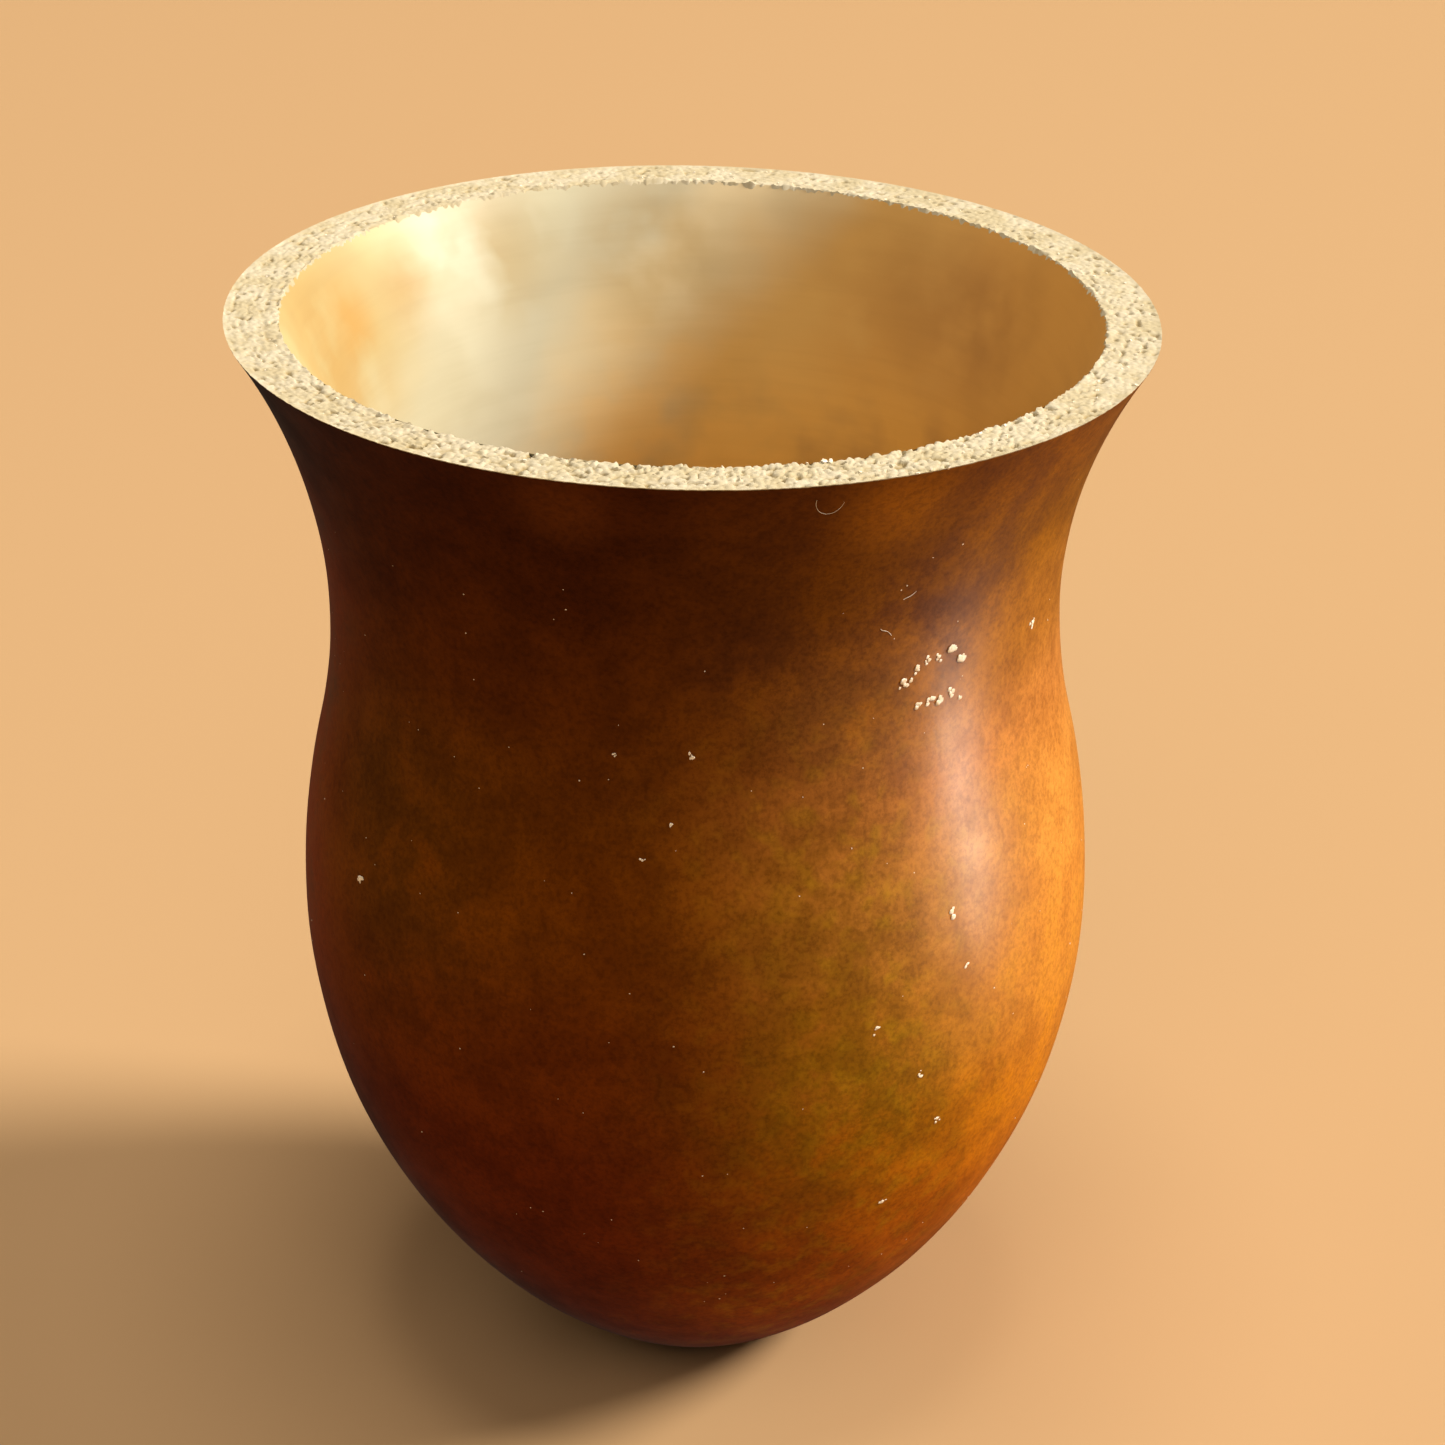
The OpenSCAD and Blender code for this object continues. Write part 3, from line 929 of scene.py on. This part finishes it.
# %% Places of the specks and crumbs
SPECKS = [
    (41, 80.5, 0.85), (43, 80.0, 0.65), (38, 80.2, 0.55), (36, 80.0, 0.50), (33, 79.0, 0.75),
    (34, 79.6, 0.50), (32, 78.6, 0.45), (39, 76.4, 0.75), (41, 76.6, 0.55), (37, 76.6, 0.60),
    (35, 76.4, 0.50), (43, 75.8, 0.45), (61, 78.2, 0.70), (39, 57.8, 0.65), (41, 52.0, 0.35),
    (26, 48.7, 0.40), (0, 74.8, 0.35), (-55, 56.4, 0.60), (-11, 74.5, 0.22), (-3, 69.1, 0.30),
    (-7, 66.1, 0.22), (37, 36.9, 0.40), (30, 28.1, 0.40), (33, 43.0, 0.30),
]
RIM_CRUMBS = [
    (26, 0.1, 0.45), (28, 0.25, 0.30), (30, 0.1, 0.35), (17, 4.6, 0.55), (18, 4.4, 0.40), (15, 4.7, 0.30),
    (66, 0.2, 0.40), (-52, 3.9, 0.40), (-50, 4.2, 0.25), (4, 4.4, 0.30), (40, 4.5, 0.30), (-20, 4.5, 0.25),
]
FLAKES_IN_CLUMP, CLUMP_SPREAD, FLAKE_SHARES = 4, 0.5, (0.4, 1)
DUST_COUNT, DUST_HEIGHTS, DUST_SIZES = 260, (12, 92), (0.06, 0.15)
RIM_DUST_COUNT, RIM_DUST_DEPTHS, RIM_DUST_SIZES = 120, (0.7, 3.8), (0.12, 0.30)
SEED = 7
rng = np.random.default_rng(SEED)


def round_the_cup(turn_degrees, radius, z):
    """A point at a turn from the front, to the right, as the photo shows it."""
    turn = math.radians(turn_degrees)
    return Vector((radius * math.sin(turn), -radius * math.cos(turn), z))


crumb_places = []
for turn_degrees, z, size in SPECKS:
    clump = round_the_cup(turn_degrees, BELLY_R, z * MM)
    for _ in range(FLAKES_IN_CLUMP):
        aside = Vector(rng.normal(0, CLUMP_SPREAD * size * MM, 3))
        crumb_places.append((skin, clump + aside, rng.uniform(*FLAKE_SHARES) * size))
for turn_degrees, inward_mm, size in RIM_CRUMBS:
    crumb_places.append((sawn_rim, round_the_cup(turn_degrees, rim_radius(0) - inward_mm * MM, HEIGHT), size))
for _ in range(DUST_COUNT):
    turn_degrees = rng.uniform(-180, 180)
    z = rng.uniform(*DUST_HEIGHTS) * MM
    crumb_places.append((skin, round_the_cup(turn_degrees, BELLY_R, z), rng.uniform(*DUST_SIZES)))
for _ in range(RIM_DUST_COUNT):
    turn_degrees = rng.uniform(-180, 180)
    dust_r = rim_radius(rng.uniform(*RIM_DUST_DEPTHS) * MM)
    crumb_places.append((sawn_rim, round_the_cup(turn_degrees, dust_r, HEIGHT), rng.uniform(*RIM_DUST_SIZES)))
print(len(crumb_places), "crumbs")

# %% [markdown]
# One crumb is a cube, subdivided once to a lump of 24 faces and pushed out of shape. Hundreds of finer
# ones would only make the file heavy. Each copy is flattened and set on the nearest point of the skin or
# the rim, and all copies are joined.

# %% Crumbs
LUMP_WIDTH = 0.65
LUMP_LEAST, LUMP_MOST = 0.65, 1.2
CRUMB_LIFT = 0.08
FLAT_LEAST, FLAT_MOST = (0.7, 0.7, 0.25), (1.3, 1.1, 0.45)
bpy.ops.object.select_all(action="DESELECT")
bpy.ops.mesh.primitive_cube_add(size=LUMP_WIDTH)
crumb = bpy.context.object
bpy.ops.object.mode_set(mode="EDIT")
bpy.ops.mesh.subdivide(number_cuts=1, smoothness=1)
bpy.ops.object.mode_set(mode="OBJECT")
crumb_points = points_of(crumb) * rng.uniform(LUMP_LEAST, LUMP_MOST, (len(crumb.data.vertices), 1))
copies = []
for carrier, near, size in crumb_places:
    _, spot, normal, _ = carrier.closest_point_on_mesh(near)
    copy = crumb.copy()
    copy.data = crumb.data.copy()
    bpy.context.scene.collection.objects.link(copy)
    facing = np.array(normal.to_track_quat("Z", "Y").to_matrix())
    spread = rng.uniform(FLAT_LEAST, FLAT_MOST) * size * MM
    middle = np.array(spot + normal * CRUMB_LIFT * size * MM)
    move_points(copy, (crumb_points * spread) @ facing.T + middle)
    copies.append(copy)
select_only(crumb)
bpy.ops.object.delete()
select_only(copies[0])
for copy in copies:
    copy.select_set(True)
bpy.ops.object.join()
crumbs = bpy.context.object
crumbs.name = "pith_crumbs"
print(len(copies), "copies joined")

# %% [markdown]
# Pith that is torn to dust is paler than the wall it came from, because its cells lie open on all sides.
# So it has a finish of its own, matt and nearly white.

# %% Dust's finish
dust_material, tree, shader, place = new_material("gourd_pith_dust")
GRAIN_SIZE = 0.3 * MM
LUMP_SHARP = 30
grain = add_node(tree, "ShaderNodeTexNoise", {"Vector": place, "Scale": 1 / GRAIN_SIZE, "Detail": 2})
colour = add_node(tree, "ShaderNodeValToRGB", {"Fac": grain},
                  stops=[(0.35, "#f2ecde"), (0.65, "#ddd0b4")])
tree.links.new(colour, shader.inputs["Base Color"])
shader.inputs["Roughness"].default_value = 0.95
shader.inputs["Specular IOR Level"].default_value = 0.2
finish_piece(crumbs, dust_material, LUMP_SHARP)

# %% [markdown]
# A few fibres of the sponge hang on the skin too. The largest is a loop just under the front of the rim.
# Each is a path of five points laid on the skin, given the thickness of a hair and made a mesh. A curve
# suits them better than an extruded face, because it stays round and smooth however it winds.

# %% Loose fibres
FIBRE_T = 0.035 * MM
FIBRES = [
    [(14.4, 98.9), (14.2, 97.2), (15.8, 96.2), (17.4, 96.6), (17.8, 98.2)],
    [(27.0, 83.4), (27.5, 83.2), (28.1, 83.3), (28.6, 83.0), (28.9, 82.7)],
    [(30.0, 85.6), (30.5, 85.8), (31.0, 85.7), (31.4, 85.9), (31.8, 86.2)],
]


def lay_fibre(corners):
    """Lay one fibre on the skin through places given as a turn and a height."""
    bpy.ops.object.select_all(action="DESELECT")
    bpy.ops.curve.primitive_nurbs_path_add()
    fibre = bpy.context.object
    for point, (turn_degrees, z) in zip(fibre.data.splines[0].points, corners):
        _, spot, normal, _ = skin.closest_point_on_mesh(round_the_cup(turn_degrees, RIM_R, z * MM))
        point.co = (*(spot + normal * FIBRE_T / 2), 1)
    fibre.data.bevel_depth = FIBRE_T / 2
    fibre.data.bevel_resolution = 1
    fibre.data.use_fill_caps = True
    bpy.ops.object.convert(target="MESH")
    return bpy.context.object


strands = [lay_fibre(corners) for corners in FIBRES]
select_only(strands[0])
for strand in strands:
    strand.select_set(True)
bpy.ops.object.join()
fibres = bpy.context.object
fibres.name = "pith_fibres"
finish_piece(fibres, dust_material, TORN_SHARP)

# %% [markdown]
# ## The picture's colours
# The picture is shown through Blender's Standard view transform.

# %% Finish
bpy.context.scene.view_settings.view_transform = "Standard"
